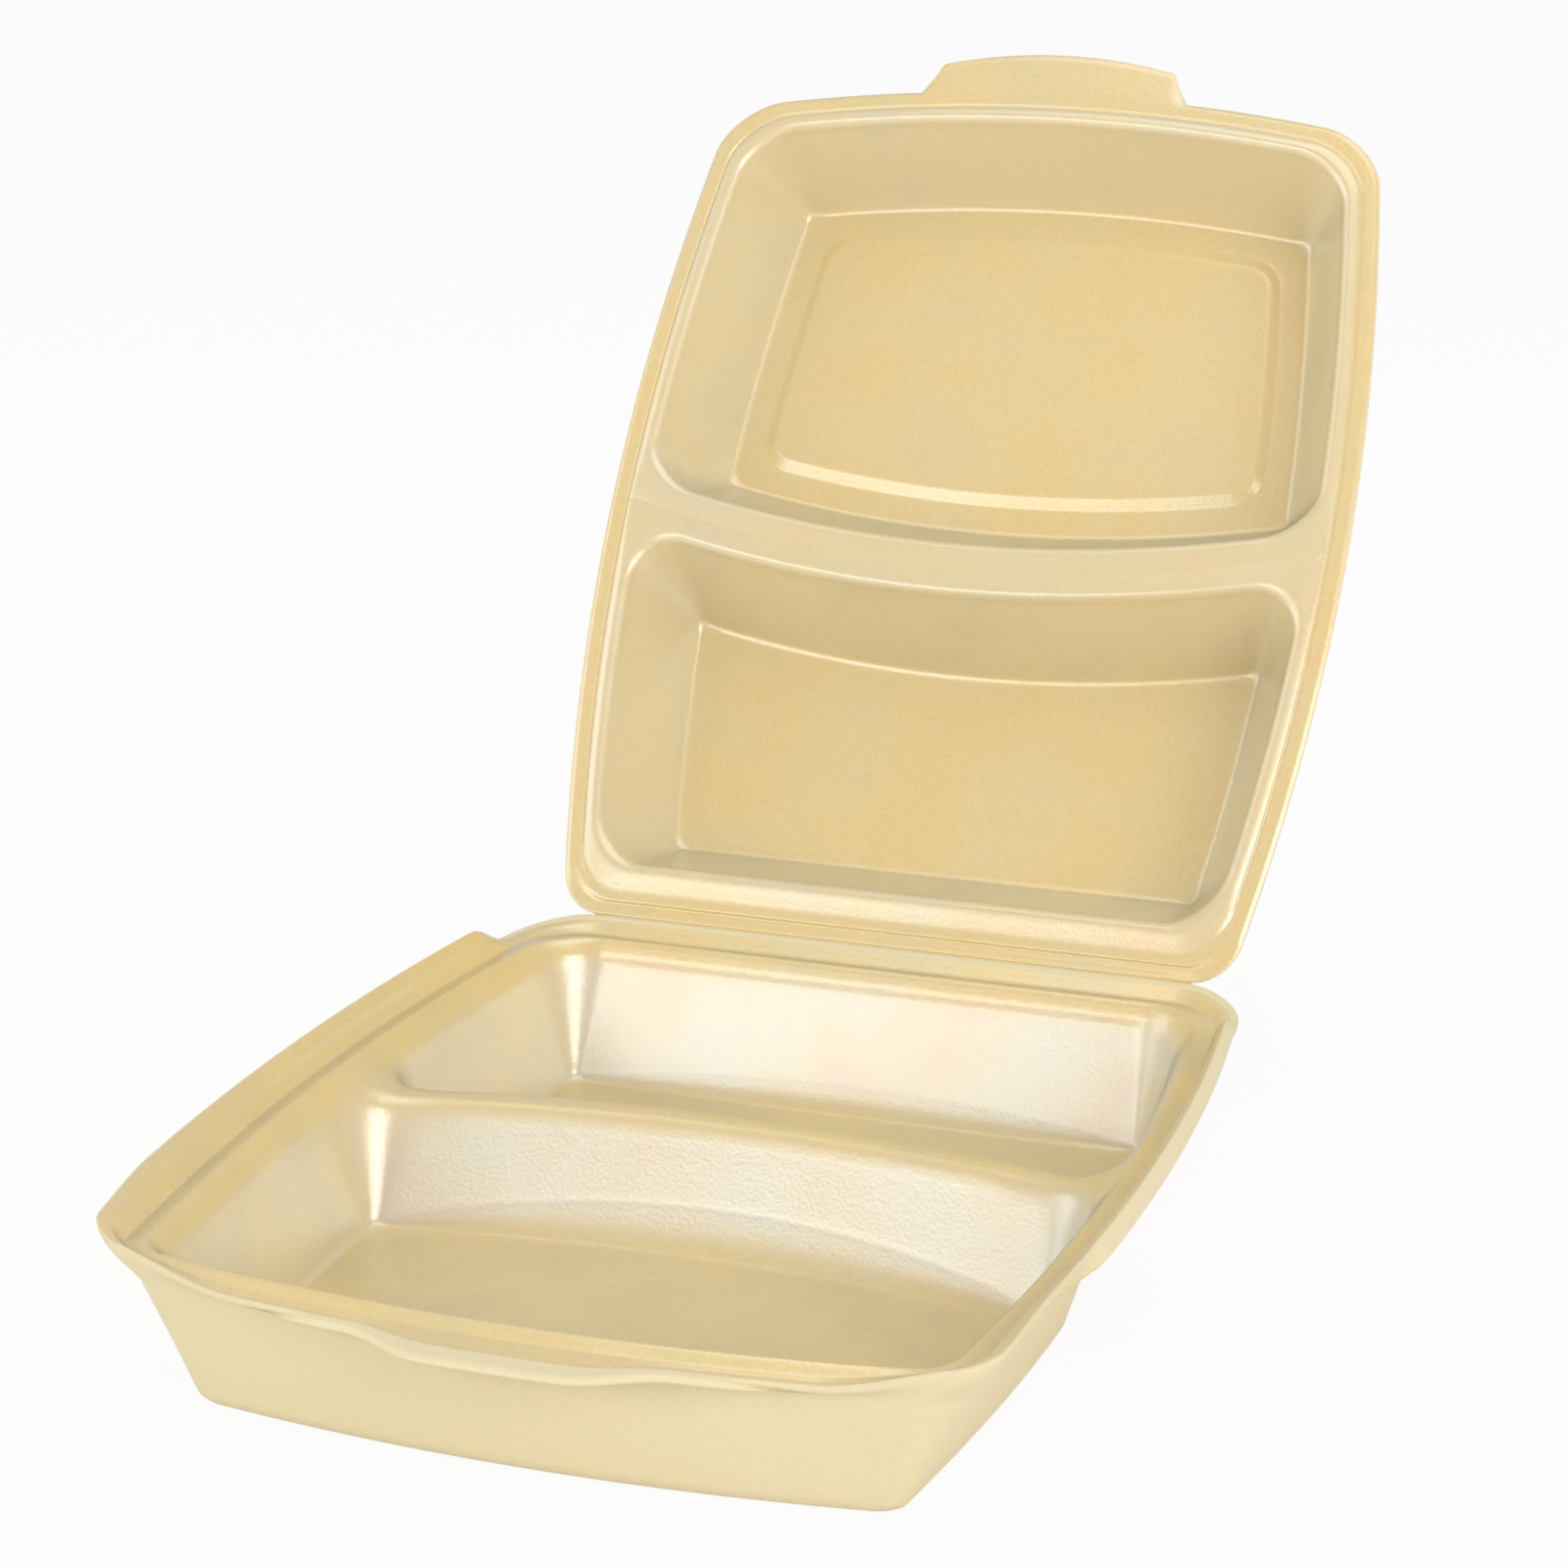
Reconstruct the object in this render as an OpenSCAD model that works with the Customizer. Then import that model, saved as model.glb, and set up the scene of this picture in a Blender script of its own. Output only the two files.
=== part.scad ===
// Hinged foam meal box with two compartments, standing open.
// One foam sheet is drawn into a tray and a matching lid, which turn on a pressed crease along the back.
// The origin is the middle of the front compartment's foot, on the table; +Y points back to the hinge.

/* [Box] */
// Width of the lid across its widest part
lid_w = 200; // [160:1:240]
// Length from the hinge line to the lid's front edge
lid_l = 242; // [200:1:280]
// How far each long side bulges in the middle
side_bulge = 12; // [4:0.5:18]
// How far the front edge bows forward in the middle
front_bow = 11; // [4:0.5:16]
// Distance from the hinge line to the middle of the divider
divider_at = 103.5; // [90:0.5:120]
// How far the divider bows towards the hinge in the middle
divider_bow = 14; // [0:0.5:20]
// Corner radius of each compartment at its mouth
mouth_r = 14; // [8:0.5:18]
// Corner radius of each compartment at its floor
floor_r = 3; // [1.5:0.5:6]

/* [Hinge] */
// Height of the hinge line above the table
hinge_h = 38; // [30:0.5:50]
// Slope of the open lid above the table
open_angle = 54.9; // [20:0.1:85]
// Gap from the hinge line to the edge of each half
hinge_gap = 0.3; // [0.3:0.05:0.5]
// Thickness of the foam where it is pressed at the hinge
hinge_t = 1.2; // [0.8:0.1:1.6]

/* [Tray] */
// Thickness of the tray's foam
tray_gauge = 2.6; // [1.5:0.1:3]
// Width of the tray's rim inside the lid's edge, at the sides
tray_side_rim = 10.3; // [8:0.1:12]
// Width of the tray's front flange
tray_front_rim = 9.7; // [8:0.1:14]
// How far the front flange stands out beyond the lid's front edge
flange_out = 2.7; // [0:0.1:5]
// Width of the tray's rim along the hinge
tray_back_rim = 15.4; // [12:0.1:20]
// Depth of the lid's seat below the hinge line
seat_drop = 1.8; // [1.6:0.1:3]
// Depth of the front crest below the hinge line
front_drop = 4; // [3:0.1:6]
// Width of the raised side band at the back
band_back = 4; // [3.5:0.1:6]
// Width of the raised side band at the front
band_front = 5.5; // [4:0.1:10]
// How far the tray spreads beyond the lid's outline at its front corners
tray_splay = 5; // [0:0.5:8]
// Height of the side bead above the hinge line
bead_h = 6.5; // [3:0.1:9]
// Distance from the side's outer edge to the crest of its bead
bead_in = 2.5; // [2:0.1:3]
// How far the side skirt hangs below its crest
skirt_drop = 4.5; // [2:0.1:6]
// Distance from the hinge line to the start of the side bead
bead_start = 21; // [15:1:40]
// Length over which the side bead rises
bead_ramp = 17; // [12:1:40]
// Distance from the hinge line to the place where the side bead eases down towards the front corner
ease_start = 195; // [170:1:205]
// Length over which the side bead eases down
ease_run = 40; // [25:1:50]
// How far the flange rises into the front corners
corner_lift = 6; // [0:0.5:7]
// Length over which the flange rises into the front corners
corner_run = 36; // [20:1:45]
// Distance from the hinge line to the place where the skirt tucks in towards the front corner
tuck_start = 174; // [150:1:190]
// Length over which the skirt tucks in
tuck_ramp = 12; // [8:1:25]
// How far the skirt tucks in
tuck_in = 3; // [0:0.1:4]
// How far the skirt drops where it tucks in
tuck_drop = 6; // [0:0.1:9]
// How far the lip in the middle of the flange stands out
lip_out = 7; // [0:0.5:10]
// Length over which each end of the lip runs out
lip_ramp = 20; // [8:1:30]
// Depth of the tray's divider below the hinge line
divider_drop = 8.5; // [6:0.1:14]
// Half the width of the tray's divider at its top
divider_half = 5.6; // [4:0.1:7]
// Length over which each end of the divider rises to the rim
divider_rise = 20; // [14:1:40]
// Run of the tray's side walls from mouth to floor
tray_side_run = 7.7; // [5:0.1:14]
// Run of the tray's front wall from mouth to floor
tray_front_run = 3.5; // [3:0.1:10]
// Run of the tray's back wall from mouth to floor
tray_back_run = 11.6; // [6:0.1:16]
// Run of the divider's walls from its top to the floor
tray_divider_run = 13; // [8:0.1:16]
// Height of the ramp at the foot of the divider
divider_ramp = 8; // [0:0.5:12]
// Height of the ramp at the foot of the back wall
back_ramp = 5; // [0:0.5:10]
// Outer corner radius of the tray at the front
tray_front_r = 11; // [9:0.5:20]
// Outer corner radius of the tray at the hinge
tray_back_r = 16; // [10:0.5:18]

/* [Lid] */
// Thickness of the lid's foam
lid_gauge = 1.9; // [1.2:0.1:2.5]
// Depth of the lid's domes
lid_depth = 26.5; // [20:0.5:32]
// Width of the lid's rim at the front and sides
lid_rim = 10; // [7:0.1:13]
// Width of the lid's rim and hinge strip at the back
lid_back_rim = 15; // [12:0.1:18]
// Height of the bead around the lid's mouths
lid_bead = 0.7; // [0.3:0.1:1]
// Half the width of the band between the domes
lid_band_half = 8; // [6:0.1:10]
// Run of the lid's walls from mouth to floor
lid_run = 12.2; // [8:0.1:15]
// How far the front tab stands out
tab_out = 12.5; // [6:0.5:16]
// Width of the front tab
tab_w = 71; // [50:1:90]
// Margin from the large dome's edge to its raised panel
panel_margin = 7; // [4:0.5:12]
// How far the panel is raised towards the inside
panel_step = 1.6; // [0.5:0.1:2.5]
// Width of the slope around the panel
panel_run = 4; // [2:0.5:5]
// Corner radius of the panel
panel_r = 8; // [4:0.5:14]
// Outer corner radius of the lid at the front
lid_front_r = 16; // [12:0.5:24]
// Outer corner radius of the lid at the hinge
lid_back_r = 10; // [7:0.5:14]

/* [Hidden] */

// Steps around one corner, which is an even number
corner_steps = 6;
// Steps along one side of a compartment
along_steps = 8;
// Inner radius between wall and floor, and the same outside
tray_fillets = [2, 4];
lid_fillets = [1.5, 4];
// Distance from the hinge line to the origin
foot_at = 175;

tray_floor = hinge_h - tray_gauge;
edge_half = lid_w / 2;
front_half = edge_half - side_bulge;
across_r = lid_front_r / edge_half;

// Rim profiles from the outer edge to the top of the wall, as shares of the rim's width and of its heights
tray_side_shares = [0, 0, -0.06, 0.48, 0.65, 0.78, 0.9, 1];
tray_front_shares = [0, 0.2, 0.45, 0.75, 0.83, 0.9, 0.96, 1];
tray_back_shares = [0, 0.14, 0.45, 0.8, 0.86, 0.91, 0.96, 1];
tray_divider_shares = [0, 0.4, 0.75, 1];
tray_side_up_shares = [-1, -1, -1.22, -0.75, -1.2, -2.1, -3.3, -4.7];
tray_front_up_shares = [-1.62, -1.5, -1.35, -0.95, -1, -1.15, -1.5, -2.1];
tray_back_up_shares = [-0.09, -0.28, -1.75, -1.2, -1.5, -2.1, -3, -4.2];
tray_divider_up_shares = [-1, -1.02, -1.14, -1.38];
lid_rim_shares = [0, 0.12, 0.36, 0.44, 0.5, 0.73, 0.9, 1];
lid_back_shares = [0, 0.21, 0.28, 0.4, 0.55, 0.81, 0.93, 1];
lid_band_shares = [0, 0.65, 0.875, 1];
lid_up_shares = [-1.15, -0.4, -0.4, -1, -0.1, 1, -0.4, -3.6];
lid_back_up_shares = [-0.23, -1.3, -0.4, -0.5, 0, 1, -0.4, -3.6];
lid_band_up_shares = [-0.3, 0.3, -0.9, -4];
// Share of the gauge taken off at each place of the rim, and how far its wall is turned by then
rim_under_shares = [0.5, 1, 1, 1, 1, 1, 1, 1];
rim_turn_shares = [0, 0, 0, 0, 0.1, 0.35, 0.7, 1];
// Share of the side bead's height that is hollow below its crest
bead_hollow_share = 0.6;
// Share of the bead's height that is left at the front corner
bead_end_share = 0.45;
// Share of the tab's reach that is left at its ends, and how much narrower the tab is at its top
tab_end_share = 0.72;
tab_narrow_share = 0.92;
// Share of the tray's spread that is left at its floor
floor_splay_share = 0.8;
// Thickness of the skirt at its edge, and under the bead's crest
skirt_ts = [1, 1.5];
// Share of a ramp's height at the foot of its wall, half way and at the floor
ramp_lift_shares = [1, 0.45, 0];
rim_count = 4;
top_count = 8;

function mix(a, b, t) = a * (1 - t) + b * t;
function smooth(t) = let (c = min(1, max(0, t))) c * c * (3 - 2 * c);

// Outline of the lid: half its width at a distance from the hinge line, its front edge and the divider
function half_width(v) = edge_half - side_bulge * pow(2 * v / lid_l - 1, 2);
function front_edge(u) = lid_l - front_bow * pow(u / edge_half, 2);
function divider_line(u) = divider_at + divider_bow * pow(u / edge_half, 2);
// Compartment 0 lies between the divider and the front, compartment 1 between the hinge and the divider
function far_edge(cell, u) = cell == 0 ? front_edge(u) : divider_line(u);
function near_edge(cell, u) = cell == 0 ? divider_line(u) : hinge_gap;

// Raised side band of the tray, its bead, and the lip or tab in the middle of the front
function band(v) = mix(band_back, band_front, pow(v / lid_l, 2));
function splay(v) = tray_splay * pow(v / lid_l, 3);
function tuck(v) = smooth((v - tuck_start) / tuck_ramp);
function bead_fade(v) = smooth((v - bead_start) / bead_ramp);
function bead_ease(v) = mix(1, bead_end_share, smooth((v - ease_start) / ease_run));
function corner_rise(u) = corner_lift * smooth((abs(u) - edge_half + corner_run) / corner_run);
function lip(u) = lip_out * smooth((tab_w / 2 - abs(u)) / lip_ramp);
function tab(u) = let (t = abs(u) / (tab_w / 2))
    t < 1 ? tab_out * min(sqrt(1 - pow(t, 8)), mix(1, tab_end_share, t * t)) : 0;

// Stations around a compartment at corners and along sides: [corner, share of its arc, share of its side]
tab_share = tab_w / 2 / (front_half * (1 - across_r));
tab_top_share = tab_narrow_share * tab_share;
half_shares = [(1 + tab_share) / 2, tab_share, tab_top_share, tab_top_share / 2];
across_shares = concat(half_shares, [0], [for (i = [3:-1:0]) -half_shares[i]]);
along_shares = [for (i = [1:along_steps - 1]) 1 - 2 * i / along_steps];
stations = [for (k = [0:3])
    each concat([for (i = [0:corner_steps]) [k, i / corner_steps, undef]],
                [for (s = k % 2 == 0 ? across_shares : along_shares) [k, 1, s]])];
count = len(stations);
across_block = corner_steps + 1 + len(across_shares);
along_block = corner_steps + 1 + len(along_shares);
middle = corner_steps / 2;
corner_middles = [middle, across_block + middle, across_block + along_block + middle,
                  2 * across_block + along_block + middle];
front_path = [for (i = [0:count - across_block]) (corner_middles[3] + i) % count];
back_path = [for (i = [0:count - across_block]) (corner_middles[1] + i) % count];
loop_half = len(front_path) - 1;
loop = 2 * loop_half;

corner_across = [1, -1, -1, 1];
corner_along = [1, 1, -1, -1];
// True where a corner of a compartment lies at an end of the divider
function at_divider(cell, k) = cell == 0 ? k > 1 : k < 2;
// Widens a round corner to a square one
function squared(c, s, on) = on ? 1 / max(abs(c), abs(s)) : 1;

// Place of a station on a unit square with round corners
function place(st, ru, rv, square_on) = let (k = st[0], c = cos(90 * (k + st[1])), s = sin(90 * (k + st[1])),
    m = squared(c, s, square_on), sx = corner_across[k], sy = corner_along[k])
    st[2] == undef ? [sx * (1 - ru) + ru * c * m, sy * (1 - rv) + rv * s * m]
    : k == 0 ? [(1 - ru) * st[2], 1]
    : k == 1 ? [-1, (1 - rv) * st[2]]
    : k == 2 ? [-(1 - ru) * st[2], -1]
    : [1, -(1 - rv) * st[2]];

// Shares of the far side, the two long sides and the near side in a station's height.
// Along the divider's middle line they follow the distance from its end, elsewhere the share of the arc.
function blend(st, square_on, p) = let (k = st[0], across = k % 2 == 0, turn = across ? st[1] : 1 - st[1],
    cap = st[2] != undef && !across ? 0
        : square_on ? smooth((1 - abs(p)) * edge_half / divider_rise)
        : smooth(turn))
    k < 2 ? [cap, 1 - cap, 0] : [0, 1 - cap, cap];

// One ring of a compartment, as [across, out from the hinge line, up, shares, share of the width]
function ring(cell, ins, ups, r, square_on = false, flare = 0, spread = 0) =
    let (a = edge_half - ins[1], b = (far_edge(cell, 0) - near_edge(cell, 0) - ins[0] - ins[2]) / 2)
    [for (st = stations) let (
        sq = square_on && at_divider(cell, st[0]),
        pq = place(st, r / a, r / b, sq),
        w = blend(st, sq, pq[0]),
        t = (pq[1] + 1) / 2,
        u0 = pq[0] * a,
        v0 = mix(near_edge(cell, u0) + ins[2], far_edge(cell, u0) - ins[0], t),
        u = pq[0] * (half_width(v0) - ins[1] + flare * band(v0) + spread * splay(v0)),
        v = mix(near_edge(cell, u) + ins[2], far_edge(cell, u) - ins[0], t))
        [u, v, w * ups, w, pq[0]]];

// Wall and floor meet in a fillet: places along it for a wall that ends at a corner, from wall to floor
function fillet(corner_in, corner_up, slope, r, i) = let (t = r * tan(slope / 2))
    i == 0 ? [corner_in - t * cos(slope), corner_up + t * sin(slope)]
    : i == 1 ? [corner_in + t - r * sin(slope / 2), corner_up + r * (1 - cos(slope / 2))]
    : [corner_in + t, corner_up];

// Rings from wall to floor for walls that start at [ins, ups] and run to the floor
function wall_rings(cell, ins, ups, runs, floor_up, gauge, r, lift, spread, under) = let (
    slopes = [for (i = [0:2]) atan2(ups[i] - floor_up, runs[i])],
    shift = under ? gauge : 0)
    [for (f = [0:2]) let (
        steps = [for (i = [0:2]) fillet(ins[i] + runs[i] - shift * tan(slopes[i] / 2), floor_up - shift,
                                        slopes[i], r, f)],
        spots = ring(cell, [for (s = steps) s[0]], [for (s = steps) s[1]], floor_r + f * r / 2,
                     false, 0, spread))
        [for (s = spots) let (rise = lift * ramp_lift_shares[f] * s[3][2] * (1 - s[4] * s[4]))
            [s[0], s[1] - rise / tan(slopes[2]), s[2] + rise]]];

// Rim profile of one half: insets and heights of the far side, the long sides and the near side at place i
function tray_ins(cell, i) = let (
    side = tray_side_shares[i] * tray_side_rim + (i == 1 ? bead_in : 0),
    front = tray_front_shares[i] * tray_front_rim - flange_out,
    back = tray_back_shares[i] * tray_back_rim,
    divider = i < rim_count ? 0 : tray_divider_shares[i - rim_count] * divider_half)
    cell == 0 ? [front, side, divider] : [divider, side, back];
function tray_ups(cell, i) = let (
    side = tray_side_up_shares[i] * seat_drop,
    front = tray_front_up_shares[i] * front_drop,
    back = tray_back_up_shares[i] * seat_drop,
    divider = i < rim_count ? side : tray_divider_up_shares[i - rim_count] * divider_drop)
    cell == 0 ? [front, side, divider] : [divider, side, back];
function lid_ins(cell, i) = let (
    side = lid_rim_shares[i] * lid_rim,
    back = lid_back_shares[i] * lid_back_rim,
    divider = i < rim_count ? 0 : lid_band_shares[i - rim_count] * lid_band_half)
    cell == 0 ? [side, side, divider] : [divider, side, back];
function lid_ups(cell, i) = let (
    side = lid_up_shares[i] * lid_bead,
    back = lid_back_up_shares[i] * lid_bead,
    divider = i < rim_count ? side : lid_band_up_shares[i - rim_count] * lid_bead)
    cell == 0 ? [side, side, divider] : [divider, side, back];

// Foam taken off below place i of a rim: pressed thin at the hinge edge, and leaning with the wall further in
function under_ups(cell, i, gauge) = let (g = gauge * rim_under_shares[i], h = i == 0 ? hinge_t : g)
    cell == 0 ? [g, g, g] : [g, g, h];
function under_ins(i, gauge, slopes) = [for (s = slopes) gauge * rim_turn_shares[i] * tan(s / 2)];
function slopes_of(ups, runs, floor_up) = [for (i = [0:2]) atan2(ups[i] - floor_up, runs[i])];

// Corner radius at place i of a rim
function rim_r(i, outer_r) = mix(outer_r, mouth_r, min(1, i / (rim_count + 1)));

// Tray rings of one compartment, on top of the foam or under it
tray_runs = [[tray_front_run, tray_side_run, tray_divider_run],
             [tray_divider_run, tray_side_run, tray_back_run]];
tray_lifts = [divider_ramp, back_ramp];
tray_rs = [tray_front_r, tray_back_r];
function tray_rim_ring(cell, i, under) = let (
    top = tray_ups(cell, top_count - 1),
    slopes = slopes_of(top, tray_runs[cell], -tray_floor),
    skirt = under && i < 2 ? skirt_ts[i] : 0,
    ins = tray_ins(cell, i) - (under ? under_ins(i, tray_gauge, slopes) : [0, 0, 0]) + [0, skirt, 0],
    ups = tray_ups(cell, i) - (under ? under_ups(cell, i, tray_gauge) : [0, 0, 0]),
    spots = ring(cell, ins, ups, rim_r(i, tray_rs[cell]), i <= rim_count, i < 2 ? 1 : 0, 1),
    bead = (seat_drop + bead_h) * (i > 1 ? 0 : under && i == 1 ? bead_hollow_share : 1))
    [for (s = spots) let (side = s[3][1] * bead_fade(s[1]), tucked = i == 0 ? s[3][1] * tuck(s[1]) : 0,
        reach = i == 0 ? s[3][0] * (1 - cell) * lip(s[0]) : 0,
        raised = i < 2 ? s[3][0] * (1 - cell) * corner_rise(s[0]) : 0)
        [s[0] - sign(s[0]) * tucked * tuck_in, s[1] + reach,
         s[2] + side * (bead * bead_ease(s[1]) - (i == 0 ? skirt_drop : 0)) + raised - tucked * tuck_drop]];
function tray_rings(cell, under) = concat(
    [for (i = [rim_count:top_count - 1]) tray_rim_ring(cell, i, under)],
    wall_rings(cell, tray_ins(cell, top_count - 1), tray_ups(cell, top_count - 1), tray_runs[cell],
               -tray_floor, tray_gauge, tray_fillets[under ? 1 : 0], tray_lifts[cell],
               floor_splay_share, under));

// Lid rings of one compartment, with the raised panel in the large dome
lid_runs = [lid_run, lid_run, lid_run];
lid_rs = [lid_front_r, lid_back_r];
function lid_rim_ring(cell, i, under) = let (
    top = lid_ups(cell, top_count - 1),
    slopes = slopes_of(top, lid_runs, -lid_depth),
    ins = lid_ins(cell, i) - (under ? under_ins(i, lid_gauge, slopes) : [0, 0, 0]),
    ups = lid_ups(cell, i) - (under ? under_ups(cell, i, lid_gauge) : [0, 0, 0]),
    spots = ring(cell, ins, ups, rim_r(i, lid_rs[cell]), i <= rim_count))
    [for (s = spots) let (reach = i == 0 ? s[3][0] * (1 - cell) * tab(s[0]) : 0) [s[0], s[1] + reach, s[2]]];
function panel_rings(under) = [for (f = [0, 1]) let (
    edge = lid_ins(0, top_count - 1) + lid_runs + (panel_margin + f * panel_run) * [1, 1, 1],
    up = -lid_depth + f * panel_step - (under ? lid_gauge : 0),
    spots = ring(0, edge, [up, up, up], panel_r - f * panel_r / 2))
    [for (s = spots) [s[0], s[1], s[2]]]];
function lid_rings(cell, under) = concat(
    [for (i = [rim_count:top_count - 1]) lid_rim_ring(cell, i, under)],
    wall_rings(cell, lid_ins(cell, top_count - 1), lid_ups(cell, top_count - 1), lid_runs, -lid_depth,
               lid_gauge, lid_fillets[under ? 1 : 0], 0, 0, under),
    cell == 0 ? panel_rings(under) : []);

// A rim ring runs once around the whole half: the front compartment's path, then the back compartment's
function loop_of(front, back) = concat([for (i = [0:loop_half - 1]) front[front_path[i]]],
                                       [for (i = [0:loop_half - 1]) back[back_path[i]]]);
function middle_of(spots) = [for (k = [0:2]) [for (s = spots) s[k] / len(spots)] * [for (s = spots) 1]];

// Points of one side of the foam: rim loops, front compartment, its middle, back compartment, its middle.
// The back compartment's first ring leaves out the divider line, which it shares with the front compartment.
function side_points(rims, front, back) = concat([for (r = rims) each r], [for (r = front) each r],
    [middle_of(front[len(front) - 1])], [for (i = [1:loop_half - 1]) back[0][back_path[i]]],
    [for (k = [1:len(back) - 1]) each back[k]], [middle_of(back[len(back) - 1])]);

function rim_at(k, i) = k * loop + i % loop;
function front_at(k, j) = rim_count * loop + k * count + j % count;
function back_at(fronts, k, j) = let (m = j % count, start = front_at(fronts, 0) + 1)
    k > 0 ? start + loop_half - 1 + (k - 1) * count + m
    : m >= corner_middles[0] && m <= corner_middles[1]
        ? front_at(0, corner_middles[3] - (m - corner_middles[0]))
    : start + (m - corner_middles[1] - 1 + count) % count;
function mouth_at(fronts, i) = let (m = i % loop)
    m < loop_half ? front_at(0, front_path[m]) : back_at(fronts, 0, back_path[m - loop_half]);

// Two triangles between neighbouring rings
function quad(a, b, c, d) = [[a, b, c], [a, c, d]];

// Triangles of one side of the foam
function side_faces(fronts, backs) = concat(
    [for (k = [0:rim_count - 2], i = [0:loop - 1])
        each quad(rim_at(k, i), rim_at(k, i + 1), rim_at(k + 1, i + 1), rim_at(k + 1, i))],
    [for (i = [0:loop - 1]) each quad(rim_at(rim_count - 1, i), rim_at(rim_count - 1, i + 1),
                                      mouth_at(fronts, i + 1), mouth_at(fronts, i))],
    [for (k = [0:fronts - 2], j = [0:count - 1])
        each quad(front_at(k, j), front_at(k, j + 1), front_at(k + 1, j + 1), front_at(k + 1, j))],
    [for (j = [0:count - 1]) [front_at(fronts - 1, j), front_at(fronts - 1, j + 1), front_at(fronts, 0)]],
    [for (k = [0:backs - 2], j = [0:count - 1])
        each quad(back_at(fronts, k, j), back_at(fronts, k, j + 1),
                  back_at(fronts, k + 1, j + 1), back_at(fronts, k + 1, j))],
    [for (j = [0:count - 1]) [back_at(fronts, backs - 1, j), back_at(fronts, backs - 1, j + 1),
                              back_at(fronts, backs, 0)]]);

function turned(faces) = [for (f = faces) [f[2], f[1], f[0]]];

// Closed shell from the rings on top of the foam and the rings under it
module shell(top, under) {
    fronts = len(top[1]);
    backs = len(top[2]);
    top_points = side_points(top[0], top[1], top[2]);
    size = len(top_points);
    upper = side_faces(fronts, backs);
    lower = [for (f = upper) [f[2] + size, f[1] + size, f[0] + size]];
    edge = [for (i = [0:loop - 1])
        each quad(rim_at(0, i + 1), rim_at(0, i), rim_at(0, i) + size, rim_at(0, i + 1) + size)];
    faces = concat(upper, lower, edge);
    polyhedron(concat(top_points, side_points(under[0], under[1], under[2])), turned(faces));
}

// All rings of one side of the foam, for the tray and for the lid
function tray_side(under) = [
    [for (i = [0:rim_count - 1]) loop_of(tray_rim_ring(0, i, under), tray_rim_ring(1, i, under))],
    tray_rings(0, under), tray_rings(1, under)];

function lid_side(under) = [
    [for (i = [0:rim_count - 1]) loop_of(lid_rim_ring(0, i, under), lid_rim_ring(1, i, under))],
    lid_rings(0, under), lid_rings(1, under)];

// The tray lies in front of the hinge line and below it
module tray() {
    color("#E2CF98")
        translate([0, foot_at, hinge_h])
            mirror([0, 1, 0])
                shell(tray_side(false), tray_side(true));
}

// The lid leans back from the hinge line
module lid() {
    color("#E8D7A2")
        translate([0, foot_at, hinge_h])
            rotate([open_angle, 0, 0])
                shell(lid_side(false), lid_side(true));
}

tray();
lid();
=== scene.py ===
import bpy
import numpy as np
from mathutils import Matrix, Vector


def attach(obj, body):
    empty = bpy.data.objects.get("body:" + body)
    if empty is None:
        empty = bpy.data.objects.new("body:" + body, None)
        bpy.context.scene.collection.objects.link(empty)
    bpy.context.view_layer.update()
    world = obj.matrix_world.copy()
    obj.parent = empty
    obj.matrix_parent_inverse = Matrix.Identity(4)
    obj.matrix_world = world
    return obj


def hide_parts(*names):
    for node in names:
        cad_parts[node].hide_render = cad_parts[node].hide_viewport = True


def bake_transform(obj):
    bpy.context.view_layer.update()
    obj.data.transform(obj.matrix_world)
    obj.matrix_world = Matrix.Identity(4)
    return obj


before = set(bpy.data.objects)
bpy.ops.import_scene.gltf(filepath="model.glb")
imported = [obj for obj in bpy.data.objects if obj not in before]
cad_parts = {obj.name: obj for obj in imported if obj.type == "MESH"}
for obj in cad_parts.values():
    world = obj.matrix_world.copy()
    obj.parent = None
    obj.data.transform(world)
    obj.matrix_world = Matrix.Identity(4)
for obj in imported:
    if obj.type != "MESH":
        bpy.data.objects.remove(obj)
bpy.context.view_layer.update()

# The tray: the lower half of a meal box drawn from one sheet of polystyrene foam. A vacuum mould gives it two
# compartments with a bowed divider, a rim with a seat for the lid, and raised beads along both long sides.
# A gold pearl film is laminated on the inside, and the outside is the bare matte foam.

# Sizes in millimetres: u runs across the box, v away from the hinge line, w up out of the half's own rim plane.
# A RAMP or RUN is the length over which a form comes in.
LID_W, LID_L, SIDE_BULGE, FRONT_BOW = 200.0, 242.0, 12.0, 11.0
DIVIDER_AT, DIVIDER_BOW, DIVIDER_RISE = 103.5, 14.0, 12.0
HINGE_Y, HINGE_Z, HINGE_GAP, LEAN = 175.0, 38.0, 0.3, np.radians(54.9)
MOUTH_R, FLOOR_R = 14.0, 3.0
TRAY_GAUGE, TRAY_FLOOR = 2.6, -35.4
BAND_BACK, BAND_FRONT, SPLAY = 4.5, 7.5, 5.0
BEAD_START, BEAD_RAMP, EASE_START, EASE_RUN, EASE_SHARE = 21.0, 17.0, 200.0, 38.0, 0.56
CORNER_LIFT, CORNER_RUN = 6.5, 36.0
SKIRT_END, SKIRT_RAMP, ROLL_START, ROLL_RUN = 174.0, 10.0, 42.0, 30.0
CORNER_OUT, OUT_SIDE, OUT_SIDE_RUN, OUT_FRONT, OUT_FRONT_RUN = 3.2, 55.0, 40.0, 160.0, 60.0
JOIN_UP, JOIN_EASE, CREST_EASE = -10.2, 2.5, 4.5
FRONT_RUN, SIDE_RUN, DIVIDER_RUN, BACK_RUN = 3.5, 8.7, 13.0, 11.6
FRONT_RAMP, BACK_RAMP, TRAY_FILLET, TRAY_FILLET_UNDER = 8.0, 5.0, 2.0, 4.0
LIP_OUT, LIP_RAMP, TAB_HALF = 7.0, 20.0, 35.5


def mix(a, b, t):
    """A share t of the way from a to b."""
    return a * (1 - t) + b * t


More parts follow.
